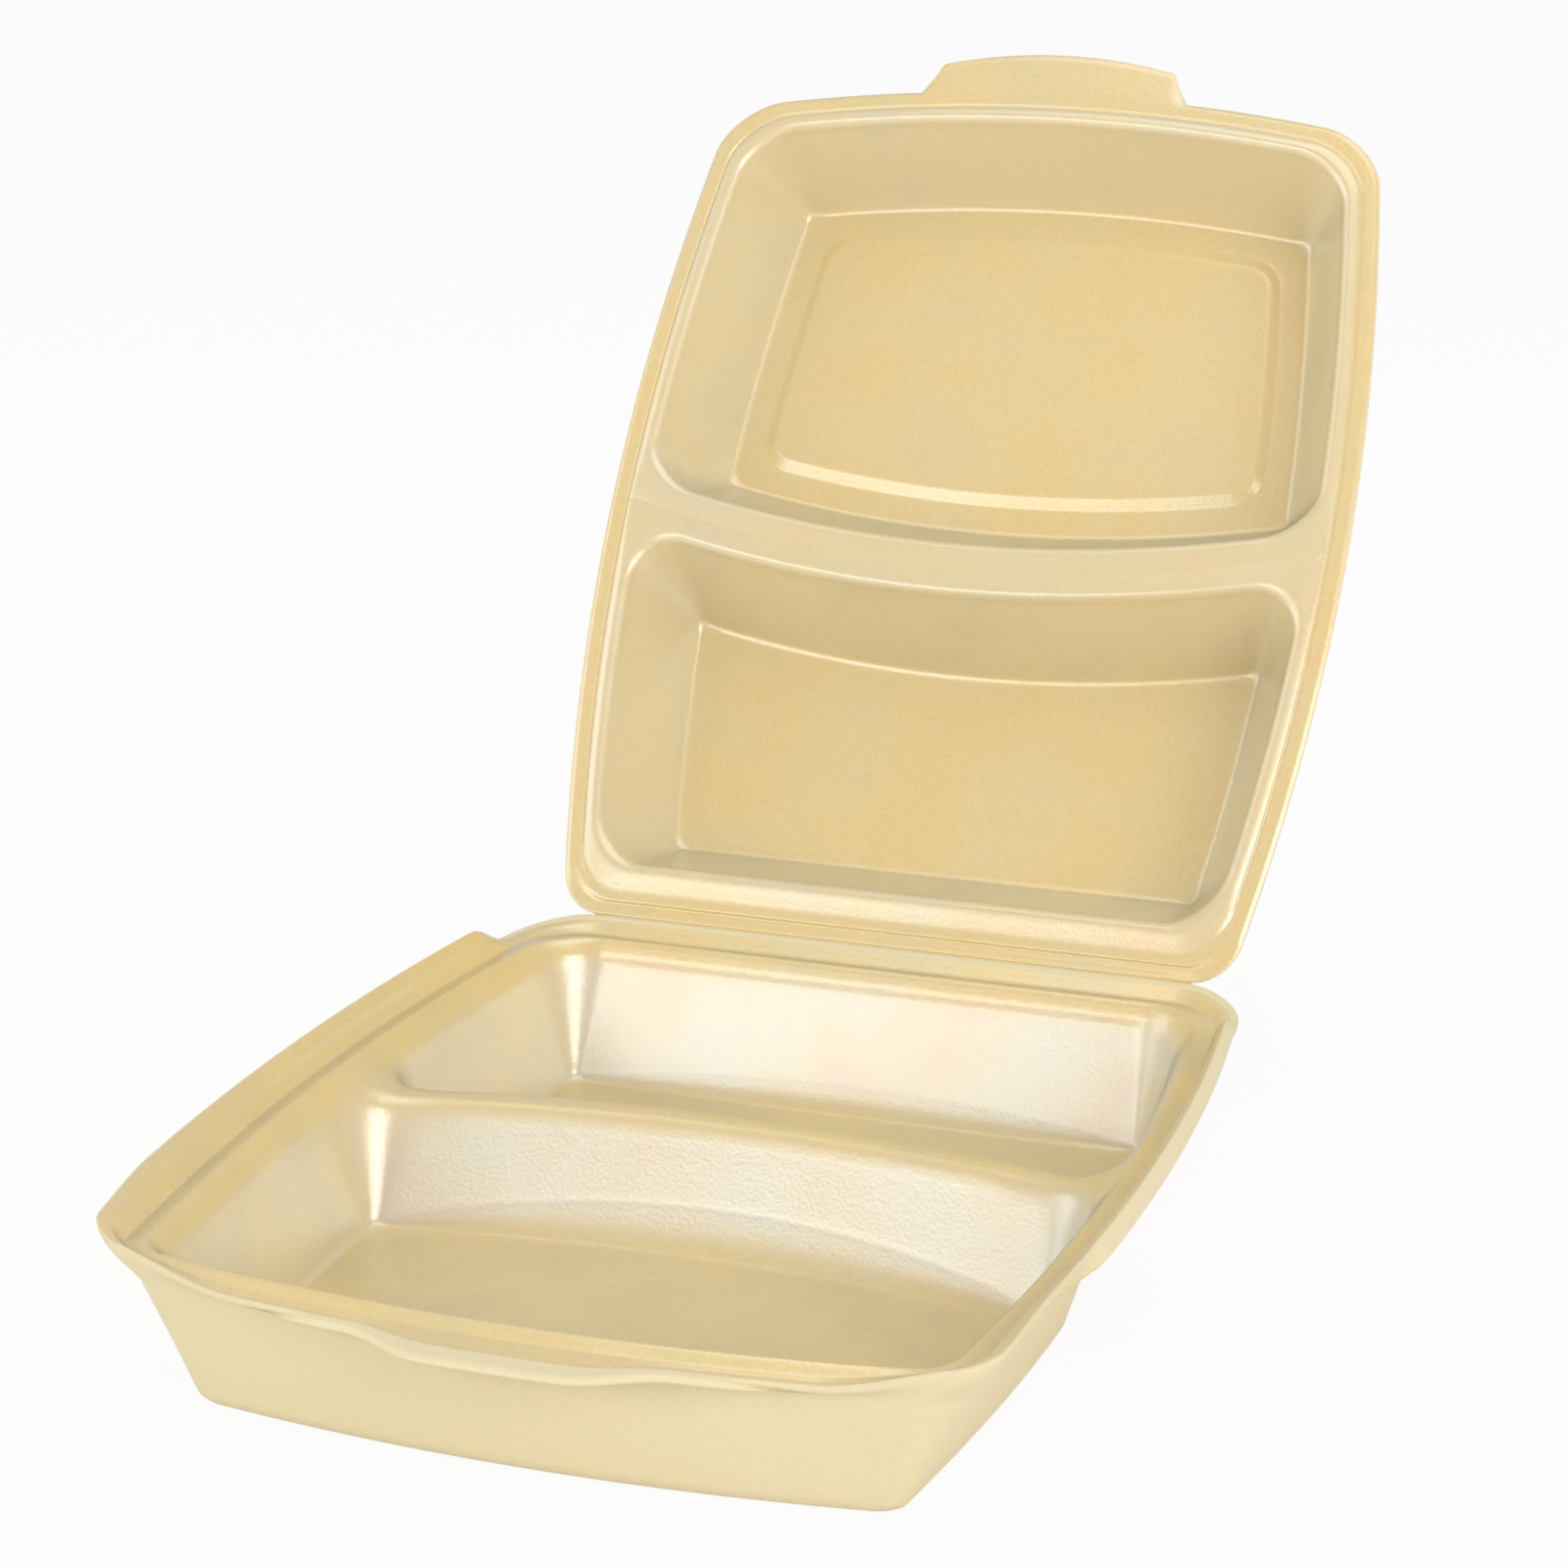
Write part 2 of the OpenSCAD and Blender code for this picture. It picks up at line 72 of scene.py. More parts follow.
def smooth(t):
    """A soft step from 0 to 1, level at both ends."""
    t = np.clip(t, 0, 1)
    return t * t * (3 - 2 * t)


def half_width(v):
    """Half the lid's width: its widest half less a parabola that is zero half way along."""
    return LID_W / 2 - SIDE_BULGE * (2 * v / LID_L - 1) ** 2


def far_edge(cell, u):
    """Front edge of the front compartment, or the divider for the back one: parabolas across the box."""
    front = LID_L - FRONT_BOW * (2 * u / LID_W) ** 2
    return front if cell == 0 else DIVIDER_AT + DIVIDER_BOW * (2 * u / LID_W) ** 2


def near_edge(cell, u):
    """The divider for the front compartment, or the hinge edge for the back one."""
    return DIVIDER_AT + DIVIDER_BOW * (2 * u / LID_W) ** 2 if cell == 0 else HINGE_GAP + 0 * u


def stations(corner_steps, tab_share):
    """Places around a compartment, anticlockwise from its far right corner: corner number, share of that corner's
    arc, and share of the side that follows it. The far and near sides are closer set around the lip's ends."""
    near_tab = tab_share * np.array([1.03, 1.0, 0.985, 0.965, 0.94, 0.915, 0.89, 0.86])
    outer, inner = np.linspace(1, 1.03 * tab_share, 13)[1:-1], np.linspace(0.86 * tab_share, 0, 11)[1:-1]
    half = np.concatenate([outer, near_tab, inner])
    across = np.concatenate([half, [0.0], -half[::-1]])
    along = np.linspace(1, -1, 41)[1:-1]
    arc = np.linspace(0, 1, corner_steps + 1)
    sides = [across, along, across, along]
    corner = np.concatenate([np.full(len(arc) + len(s), k) for k, s in enumerate(sides)])
    turn = np.concatenate([np.concatenate([arc, np.ones(len(s))]) for s in sides])
    share = np.concatenate([np.concatenate([np.full(len(arc), np.nan), s]) for s in sides])
    return corner, turn, share


CORNER_STEPS = 28
corner_of, turn_of, share_of = stations(CORNER_STEPS, TAB_HALF / 81.0)
count = len(corner_of)
corner_mid = [int(np.argmax(corner_of == k)) + CORNER_STEPS // 2 for k in range(4)]
path_steps = np.arange(count - (corner_mid[1] - corner_mid[0]))
front_path, back_path = (corner_mid[3] + path_steps) % count, (corner_mid[1] + path_steps) % count


def ease_through(knots, values, at):
    """A line through the given values that never swings past them: a cubic on each stretch, whose end slopes are
    the harmonic mean of the slopes on both sides, or level where the line turns back."""
    rise = np.diff(values) / np.diff(knots)
    slope = np.concatenate([rise[:1], np.zeros(len(rise) - 1), rise[-1:]])
    same = np.flatnonzero(rise[:-1] * rise[1:] > 0)
    slope[same + 1] = 2 / (1 / rise[same] + 1 / rise[same + 1])
    k = np.clip(np.searchsorted(knots, at, side="right") - 1, 0, len(rise) - 1)
    h = knots[k + 1] - knots[k]
    t = (at - knots[k]) / h
    return (values[k] * (1 + 2 * t) * (1 - t) ** 2 + h * slope[k] * t * (1 - t) ** 2
            + values[k + 1] * t * t * (3 - 2 * t) + h * slope[k + 1] * t * t * (t - 1))


def compartment(cell, rows):
    """Surface of one compartment: each row is a rounded rectangle between the near and the far edge, drawn in by
    the row's insets and set at its heights; the two parameters are the row and the station around it.
    Returns u, v, w and the shares of the far side and of the long sides in each point's height."""
    col = {k: np.asarray(a)[:, None] for k, a in rows.items()}
    a = LID_W / 2 - col["side_in"]
    b = (far_edge(cell, 0) - near_edge(cell, 0) - col["far_in"] - col["near_in"]) / 2
    k, turn = corner_of[None, :], turn_of[None, :]
    at_divider = (k > 1) if cell == 0 else (k < 2)
    r = np.where(at_divider, col["r_divider"], col["r_corner"])
    ru, rv = r / a, r / b
    far_r, near_r = (col["r_corner"] / b, col["r_divider"] / b)[:: 1 if cell == 0 else -1]
    c, s = np.cos((k + turn) * np.pi / 2), np.sin((k + turn) * np.pi / 2)
    square = col["square"] * at_divider
    m = mix(1, 1 / np.maximum(np.abs(c), np.abs(s)), square)
    sx, sy = np.where((k == 0) | (k == 3), 1, -1), np.where(k < 2, 1, -1)
    arc, side = np.isnan(share_of)[None, :], np.nan_to_num(share_of)[None, :]
    down = mix(near_r - 1, 1 - far_r, (side + 1) / 2)
    up = mix(1 - far_r, near_r - 1, (side + 1) / 2)
    p = np.where(arc, sx * (1 - ru) + ru * c * m,
                 np.where(k == 0, (1 - ru) * side, np.where(k == 1, -1, np.where(k == 2, (ru - 1) * side, 1))))
    q = np.where(arc, sy * (1 - rv) + rv * s * m,
                 np.where(k == 0, 1, np.where(k == 1, down, np.where(k == 2, -1, up))))
    into = smooth(np.where(k % 2 == 0, turn, 1 - turn))
    rise = smooth((1 - np.abs(p)) * LID_W / 2 / DIVIDER_RISE)
    cap = np.where(arc, mix(into, rise, square), np.where(k % 2 == 0, mix(1, rise, square), 0))
    far, near = np.where(k < 2, cap, 0), np.where(k < 2, 0, cap)
    t = (q + 1) / 2
    u0 = p * a
    v0 = mix(near_edge(cell, u0) + col["near_in"], far_edge(cell, u0) - col["far_in"], t)
    band = mix(BAND_BACK, BAND_FRONT, (v0 / LID_L) ** 2)
    u = p * (half_width(v0) - col["side_in"] + col["flare"] * band + col["spread"] * SPLAY * (v0 / LID_L) ** 3)
    v = mix(near_edge(cell, u) + col["near_in"], far_edge(cell, u) - col["far_in"], t)
    w = far * col["far_up"] + (1 - cap) * col["side_up"] + near * col["near_up"]
    lift = col["lift"] * near * (1 - p * p)
    return u, v - lift / col["near_slope"], w + lift, far, 1 - cap


def wall_rows(far, side, near, extra, runs, floor_up, fillet, gauge, under, ramp, splay):
    """Rows of a compartment from three rim profiles, each a pair of insets and heights from the outer edge to the
    top of the wall, the fourth last place being the ring where the compartments part. The wall runs straight to the
    floor and a circular fillet joins them. Under the foam all is set off by its gauge."""
    ins, ups = np.stack([far[0], side[0], near[0]]), np.stack([far[1], side[1], near[1]])
    rim = ins.shape[1]
    slope = np.arctan2(ups[:, -1] - floor_up, runs)
    if under:
        turn = np.concatenate([np.zeros(rim - 4), [0.1, 0.35, 0.7, 1.0]])
        ins = ins - gauge * turn * np.tan(slope / 2)[:, None]
        ups = ups - gauge * np.concatenate([np.linspace(0.5, 1, rim - 5), np.ones(5)])
        floor_up = floor_up - gauge
    corner = ins[:, -1] + runs
    reach = fillet * np.tan(slope / 2)
    top = np.stack([ins[:, -1], ups[:, -1]])
    foot = np.stack([corner - reach * np.cos(slope), floor_up + reach * np.sin(slope)])
    bend = np.stack([corner + reach - fillet * np.sin(slope / 2), floor_up + fillet * (1 - np.cos(slope / 2))])
    floor = np.stack([corner + reach, np.full(3, floor_up)])
    steps = np.stack([mix(top, foot, 0.1), mix(top, foot, 0.9), foot, bend, floor], -1)
    rows = {}
    for i, name in enumerate(("far", "side", "near")):
        rows[name + "_in"] = np.concatenate([ins[i], steps[0, i]])
        rows[name + "_up"] = np.concatenate([ups[i], steps[1, i]])
    cone = np.array([0.1, 0.9, 1.0, 1.0, 1.0])
    floor_r = FLOOR_R + np.array([0, 0, 0, fillet / 2, fillet])
    rows["r_corner"] = np.concatenate([extra["r_corner"], mix(extra["r_corner"][-1], floor_r, cone)])
    rows["r_divider"] = np.concatenate([np.full(rim, MOUTH_R), mix(MOUTH_R, floor_r, cone)])
    rows["square"] = np.concatenate([np.ones(rim - 3), np.zeros(8)])
    rows["lift"] = np.concatenate([np.zeros(rim), ramp * np.array([0.1, 0.9, 1.0, 0.45, 0.0])])
    rows["near_slope"] = np.full(rim + 5, np.tan(slope[2]))
    rows["spread"] = splay * np.concatenate([np.ones(rim), mix(1, 0.8, cone)])
    for name in ("flare", "bead", "reach", "edge", "out", "drawn"):
        given = extra.get(name, np.zeros(rim))
        rows[name] = np.pad(given, (0, rim + 5 - len(given)))
    return rows


def dense(rows, steps):
    """Fills each stretch between two places of a profile with the given number of rows, along a smooth line."""
    length = np.hypot(np.diff(rows["side_in"] - 5 * rows["flare"]), np.diff(rows["side_up"] + rows["bead"])) + 0.3
    knots = np.concatenate([[0], np.cumsum(length)])
    at = [np.linspace(knots[i], knots[i + 1], n, endpoint=False) for i, n in enumerate(steps)]
    at = np.concatenate(at + [knots[-1:]])
    return {k: ease_through(knots, a, at) for k, a in rows.items()}


# Rows of the mesh between two places of the profile, and how much less the film is drawn on the long sides, so that
# less pale sheen is painted there
TRAY_STEPS = [4, 5, 5, 5, 5, 6, 5, 4, 4, 4, 3, 8, 3, 4, 4]
SIDE_DRAWN_AND_SHEEN = 0.4


def tray_side(cell, under):
    """Points of one compartment of the tray: on the compartment's surface the long sides rise to a round bead that
    fades out at the back and eases down at the front, the flange has a lip and raised corners, and at the front
    corners a cubic curve rolls the rim over into the outer wall. The fourth value is how far the film is drawn,
    which also sets the pale painted sheen on the walls."""
    side = ([0, 0, 1.5, 0.7, 0.2, 0.9, 4.8, 6.0, 7.2, 8.3, 9.3],
            [-1.8, -1.8, -1.8, -1.8, -1.9, -2.4, -1.9, -2.9, -4.2, -5.8, -7.8])
    front = ([-2.7, -2.3, -0.9, 0.3, 1.0, 1.9, 4.58, 5.35, 6.03, 6.61, 7.0],
             [-6.48, -6.1, -5.9, -5.7, -5.45, -5.1, -3.2, -3.4, -4.1, -5.7, -8.2])
    back = ([0, 0.9, 2.16, 3.6, 5.0, 6.93, 12.0, 13.1, 13.9, 14.8, 15.4],
            [-0.16, -0.2, -0.5, -1.3, -2.3, -3.15, -1.9, -2.4, -3.6, -5.4, -7.56])
    divider = ([0, 0, 0, 0, 0, 0, 0, 0, 2.24, 4.2, 5.6],
               [-8.5, -8.5, -8.5, -8.5, -8.5, -8.5, -8.5, -8.5, -8.67, -9.7, -11.7])
    front_r = np.array([7, 7, 7, 6.5, 6, 6, 6, 6, 6.5, 7, 8])
    extra = {"r_corner": front_r if cell == 0 else np.linspace(16, 14, 11),
             "flare": np.array([1, 1, 1, 0.4, 0.16, 0, 0, 0, 0, 0, 0]),
             "bead": np.array([2.6, 4.7, 6.8, 4.7, 2.2, 0, 0, 0, 0, 0, 0]),
             "reach": np.array([1, 0.9, 0.6, 0.4, 0.25, 0.1, 0, 0, 0, 0, 0]),
             "edge": np.array([1, 1, 1, 0.9, 0.75, 0.5, 0.1, 0, 0, 0, 0]),
             # drawn: how far the film is drawn; it also paints the walls pale, a painted sheen for the whitish light
             # they catch
             "drawn": np.array([0, 0, 0, 0, 0, 0, 0, 0, 0, 0.15, 0.6, 0.95, 1.0, 1.0, 0.45, 0.0])}
    if under:
        side = (np.array(side[0]) + np.array([1.0, 1.2, 1.3, 0.9, 0.5, 0, 0, 0, 0, 0, 0]), side[1])
        extra["bead"] = extra["bead"] * np.array([1, 0.8, 0.66, 0.62, 0.6, 0, 0, 0, 0, 0, 0])
        extra["out"] = np.array([0, 0, 0, 0, 0, 0, 0.2, 0.6, 0.85, 0.95, 1.0, 0.92, 0.12, 0, 0, 0])
    far, near = (front, divider) if cell == 0 else (divider, back)
    runs = np.array([FRONT_RUN, SIDE_RUN, DIVIDER_RUN] if cell == 0 else [DIVIDER_RUN, SIDE_RUN, BACK_RUN])
    fillet, ramp = TRAY_FILLET_UNDER if under else TRAY_FILLET, FRONT_RAMP if cell == 0 else BACK_RAMP
    rows = wall_rows(far, side, near, extra, runs, TRAY_FLOOR, fillet, TRAY_GAUGE, under, ramp, 1.0)
    rows = dense(rows, TRAY_STEPS)
    u, v, w, far_w, side_w = compartment(cell, rows)
    col = {k: rows[k][:, None] for k in ("bead", "reach", "edge", "out", "drawn")}
    front_w = far_w * (cell == 0)
    ease = smooth((v - BEAD_START) / BEAD_RAMP) * mix(1, EASE_SHARE, smooth((v - EASE_START) / EASE_RUN))
    corner = smooth((np.abs(u) - LID_W / 2 + CORNER_RUN) / CORNER_RUN) * col["edge"] * front_w
    lip = LIP_OUT * smooth((TAB_HALF - np.abs(u)) / LIP_RAMP) * col["reach"] * front_w
    out = smooth((np.abs(u) - OUT_SIDE) / OUT_SIDE_RUN) * smooth((v - OUT_FRONT) / OUT_FRONT_RUN)
    out = CORNER_OUT * out * col["out"]
    grid = np.stack([u + np.sign(u) * out, v + out + lip, w + side_w * ease * col["bead"] + corner * CORNER_LIFT,
                     col["drawn"] * mix(1, SIDE_DRAWN_AND_SHEEN, side_w)], -1)
    crest, mouth, foot = (sum(TRAY_STEPS[:n]) for n in (2, 10, 13))
    rolled = side_w + front_w * smooth((np.abs(u) - ROLL_START) / ROLL_RUN)
    joined = (smooth((v - SKIRT_END) / SKIRT_RAMP) * rolled)[crest][:, None]
    wall = grid if under else tray_side(cell, True)
    per_mm = (wall[foot] - wall[mouth]) / (wall[mouth] - wall[foot])[:, 2:3]

    def on_wall(height):
        """The straight line of the outer wall, at a height."""
        return wall[mouth] + per_mm * (wall[mouth][:, 2:3] - height)

    if under:
        t = np.linspace(0, 1, mouth)[:, None, None]
        grid[:mouth] = mix(grid[:mouth], mix(on_wall(JOIN_UP), wall[mouth], t), joined)
    else:
        t = np.linspace(1, 0, crest + 1)[:, None, None]
        round_over = ((1 - t) ** 3 * grid[crest] + 3 * t * (1 - t) ** 2 * (grid[crest] - [0, 0, CREST_EASE, 0])
                      + 3 * t * t * (1 - t) * on_wall(JOIN_UP + JOIN_EASE) + t ** 3 * on_wall(JOIN_UP))
        grid[:crest + 1] = mix(grid[:crest + 1], round_over, joined)
    return grid


def strips(index):
    """Quads between neighbouring rows of a grid of point numbers, whose rows close on themselves."""
    nxt = np.roll(index, -1, axis=1)
    return np.stack([index[:-1], nxt[:-1], nxt[1:], index[1:]], -1).reshape(-1, 4)


def relax(points, faces, share, rounds):
    """Evens out a surface: in each round every point moves by its share towards the mean of its neighbours."""
    a, b = np.concatenate([faces[:, [0, 1]], faces[:, [1, 2]], faces[:, [2, 0]]]).T
    weight = np.bincount(a, minlength=len(points)) + np.bincount(b, minlength=len(points))
    for _ in range(rounds):
        total = [np.bincount(a, c[b], len(points)) + np.bincount(b, c[a], len(points)) for c in points.T]
        points = points + share[:, None] * (np.stack(total, -1) / weight[:, None] - points)
    return points


EDGE_ROUND, CALM_ROUNDS = 0.35, 30


def half_mesh(name, side_of, rim_row_count, bare_row_count, place, flip, calm=None):
    """Joins both compartments, top and under, into one closed shell: the rows before the parting ring run once
    around the whole half, each floor closes on its middle, and a rounded edge joins top and under. The first rows
    of the rim are bare foam, and calm gives the places that are evened out."""
    grids, skins, loops = [], [], []
    for under in (False, True):
        cells = [side_of(cell, under) for cell in (0, 1)]
        upto = rim_row_count + 1
        loop = np.concatenate([cells[0][:upto, front_path], cells[1][:upto, back_path]], axis=1)
        loops.append(loop[0])
        grids.append(loop)
        for cell in cells:
            inner = cell[rim_row_count:]
            fade = np.array([0.06, 0.14, 0.25, 0.4, 0.6, 0.8, 1.0])[:, None, None]
            grids.append(np.concatenate([inner, mix(inner[-1][None], inner[-1].mean(axis=0)[None, None], fade)]))
        skins += [int(under)] * 3
    upper, lower = loops
    along = np.roll(upper, -1, axis=0) - np.roll(upper, 1, axis=0)
    out = np.stack([along[:, 1], -along[:, 0], 0 * along[:, 0], 0 * along[:, 0]], -1)
    out = out / np.linalg.norm(out, axis=1, keepdims=True)
    t = np.linspace(0, 1, 6)[:, None, None]
    thick = np.linalg.norm(upper - lower, axis=1)[None, :, None]
    swell = EDGE_ROUND * np.clip(upper[:, 1] / 4, 0.3, 1)[None, :, None] * thick
    grids.append(mix(upper[None], lower[None], t) + out[None] * swell * np.sin(np.pi * t))
    skins.append(1)
    starts = np.cumsum([0] + [g.shape[0] * g.shape[1] for g in grids])
    quads = [strips(n + np.arange(g.shape[0] * g.shape[1]).reshape(g.shape[:2])) for n, g in zip(starts, grids)]
    turned = [False] * 3 + [True] * 4
    skin = np.concatenate([np.full(len(f), k) for f, k in zip(quads, skins)])
    skin[:bare_row_count * grids[0].shape[1]] = 1
    quads = np.concatenate([f[:, ::-1] if back else f for f, back in zip(quads, turned)])
    points = np.concatenate([g.reshape(-1, 4) for g in grids])
    _, first, weld = np.unique(np.round(points[:, :3], 4), axis=0, return_index=True, return_inverse=True)
    points, quads = points[first], weld.reshape(-1)[quads]
    faces = np.concatenate([quads[:, [0, 1, 2]], quads[:, [0, 2, 3]]])
    skin = np.concatenate([skin, skin])
    whole = (faces[:, 0] != faces[:, 1]) & (faces[:, 1] != faces[:, 2]) & (faces[:, 2] != faces[:, 0])
    faces, skin = faces[whole], skin[whole]
    if calm:
        points = relax(points, faces, calm(points), CALM_ROUNDS)
    mesh = bpy.data.meshes.new(name)
    mesh.from_pydata((place(points) * 0.001).tolist(), [], (faces[:, ::-1] if flip else faces).tolist())
    mesh.attributes.new("drawn", "FLOAT", "POINT").data.foreach_set("value", points[:, 3].astype(np.float32))
    mesh.polygons.foreach_set("material_index", skin.astype(np.int32))
    mesh.polygons.foreach_set("use_smooth", np.ones(len(faces), dtype=bool))
    mesh.update()
    piece = bpy.data.objects.new(name, mesh)
    bpy.context.scene.collection.objects.link(piece)
    return piece


def tray_place(a):
    """The tray stands level, with v running towards the front."""
    return np.stack([a[:, 0], HINGE_Y - a[:, 1], HINGE_Z + a[:, 2]], -1)


def tray_calm(a):
    """Share of evening out: full around both ends of the divider, below the rim's seat, and none elsewhere."""
    away = np.hypot(np.abs(a[:, 0]) - 82, a[:, 1] - 112)
    return 0.6 * smooth(1.5 - away / 14) * smooth((-2.3 - a[:, 2]) / 2)


rim_rows, bare_rows = sum(TRAY_STEPS[:7]), sum(TRAY_STEPS[:2]) + 1
tray_piece = half_mesh("foam_tray", tray_side, rim_rows, bare_rows, tray_place, True, tray_calm)


def linear(code):
    """Linear colour of an sRGB hex code."""
    c = np.array([int(code[i:i + 2], 16) for i in (1, 3, 5)]) / 255
    return (*np.where(c <= 0.04045, c / 12.92, ((c + 0.055) / 1.055) ** 2.4), 1.0)


def add(tree, kind, inputs, **settings):
    """Adds one shader node: its settings, and for each input a value or a link."""
    made = tree.nodes.new(kind)
    for key, value in settings.items():
        setattr(made, key, value)
    for key, value in inputs.items():
        if isinstance(value, bpy.types.NodeSocket):
            tree.links.new(value, made.inputs[key])
        else:
            made.inputs[key].default_value = value
    return made


# Gold pearl film on foam: a thin polystyrene film with pearl pigment, laminated hot and drawn with the foam.
# It gives a satin sheen with whitish lights, a fine grain of the cells under it, and a trace of pink and green.
# Where it is drawn thin on the walls, the gold is painted pale: partly the thinner film, partly painted sheen for the
# whitish light the walls catch. The flakes lie over it like a coat of high index. The foam's cells are some tenths
# of a millimetre wide, and they are drawn 1 mm wide so that they show.
GRAIN, CLOUD, RIPPLE, FOAM_CELL = 0.0010, 0.030, 0.005, 0.0014
film = bpy.data.materials.new("gold_pearl_film_on_foam")
film.use_nodes = True
tree = film.node_tree
shader = tree.nodes["Principled BSDF"]
spot = add(tree, "ShaderNodeTexCoord", {}).outputs["Object"]
grain = add(tree, "ShaderNodeTexNoise", {"Vector": spot, "Scale": 1 / GRAIN, "Detail": 2.0, "Roughness": 0.6})
grain = grain.outputs["Fac"]
cloud = add(tree, "ShaderNodeTexNoise", {"Vector": spot, "Scale": 1 / CLOUD, "Detail": 2.0, "Roughness": 0.5})
cloud = cloud.outputs["Fac"]
tone = add(tree, "ShaderNodeMath", {0: cloud, 1: 0.3, 2: grain}, operation="MULTIPLY_ADD").outputs[0]
share = add(tree, "ShaderNodeMapRange", {"Value": tone, "From Min": 0.15, "From Max": 1.15}).outputs[0]
gold = {"Factor": share, 6: linear("#D9BB76"), 7: linear("#ECD298")}
gold = add(tree, "ShaderNodeMix", gold, data_type="RGBA").outputs[2]
# Painted sheen: the walls are mixed towards a pale colour by how far the film is drawn, standing in for the whitish
# light they catch
drawn = add(tree, "ShaderNodeAttribute", {}, attribute_name="drawn").outputs["Fac"]
gold_and_sheen = {"Factor": drawn, 6: gold, 7: linear("#D9CFBA")}
gold_and_sheen = add(tree, "ShaderNodeMix", gold_and_sheen, data_type="RGBA").outputs[2]
tree.links.new(gold_and_sheen, shader.inputs["Base Color"])
dull = {"Value": grain, "From Min": 0.3, "From Max": 0.7, "To Min": 0.34, "To Max": 0.44}
dull = add(tree, "ShaderNodeMapRange", dull).outputs[0]
tree.links.new(dull, shader.inputs["Roughness"])
ripple = add(tree, "ShaderNodeTexNoise", {"Vector": spot, "Scale": 1 / RIPPLE, "Detail": 2.0}).outputs["Fac"]
low = add(tree, "ShaderNodeBump", {"Height": ripple, "Strength": 0.09, "Distance": 0.0004}).outputs[0]
fine = add(tree, "ShaderNodeBump", {"Height": grain, "Strength": 0.42, "Distance": 0.00015, "Normal": low}).outputs[0]
tree.links.new(fine, shader.inputs["Normal"])
tree.links.new(fine, shader.inputs["Coat Normal"])
pearl = {"Value": cloud, "From Min": 0.3, "From Max": 0.7, "To Min": 195.0, "To Max": 268.0}
pearl = add(tree, "ShaderNodeMapRange", pearl).outputs[0]
tree.links.new(pearl, shader.inputs["Thin Film Thickness"])
shader.inputs["Thin Film IOR"].default_value = 1.33
shader.inputs["IOR"].default_value = 1.5
shader.inputs["Specular IOR Level"].default_value = 0.9
shader.inputs["Coat Weight"].default_value = 0.76
shader.inputs["Coat IOR"].default_value = 2.6
shader.inputs["Coat Roughness"].default_value = 0.28

# Bare foam skin outside: the same foam without film, cream and matte, with the dull skin of its closed cells
bare = bpy.data.materials.new("matte_polystyrene_foam")
bare.use_nodes = True
tree = bare.node_tree
shader = tree.nodes["Principled BSDF"]
spot = add(tree, "ShaderNodeTexCoord", {}).outputs["Object"]
cells = add(tree, "ShaderNodeTexNoise", {"Vector": spot, "Scale": 1 / FOAM_CELL, "Detail": 2.0, "Roughness": 0.6})
cells = cells.outputs["Fac"]
share = add(tree, "ShaderNodeMapRange", {"Value": cells, "From Min": 0.3, "From Max": 0.7}).outputs[0]
cream = {"Factor": share, 6: linear("#E3D5AD"), 7: linear("#E6D8B2")}
cream = add(tree, "ShaderNodeMix", cream, data_type="RGBA").outputs[2]
tree.links.new(cream, shader.inputs["Base Color"])
skin = add(tree, "ShaderNodeBump", {"Height": cells, "Strength": 0.1, "Distance": 0.0001}).outputs[0]
tree.links.new(skin, shader.inputs["Normal"])
shader.inputs["Roughness"].default_value = 0.68
shader.inputs["Specular IOR Level"].default_value = 0.35

tray_piece.data.materials.append(film)
tray_piece.data.materials.append(bare)
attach(tray_piece, "tray")
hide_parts("tray")

# The lid: the upper half of the same sheet, drawn into two shallow domes over the compartments. A thin crease and
# a round bead run around its rim, the larger dome has a raised panel, and a tab at the front lifts it.
LID_GAUGE, LID_FLOOR, LID_RUN, LID_FILLET, LID_FILLET_UNDER = 1.9, -26.5, 12.2, 2.2, 4.0
PANEL_MARGIN, PANEL_STEP = 7.0, 1.6
LID_STEPS = [6, 7, 5, 4, 6, 6, 5, 3, 8, 3, 4, 4]


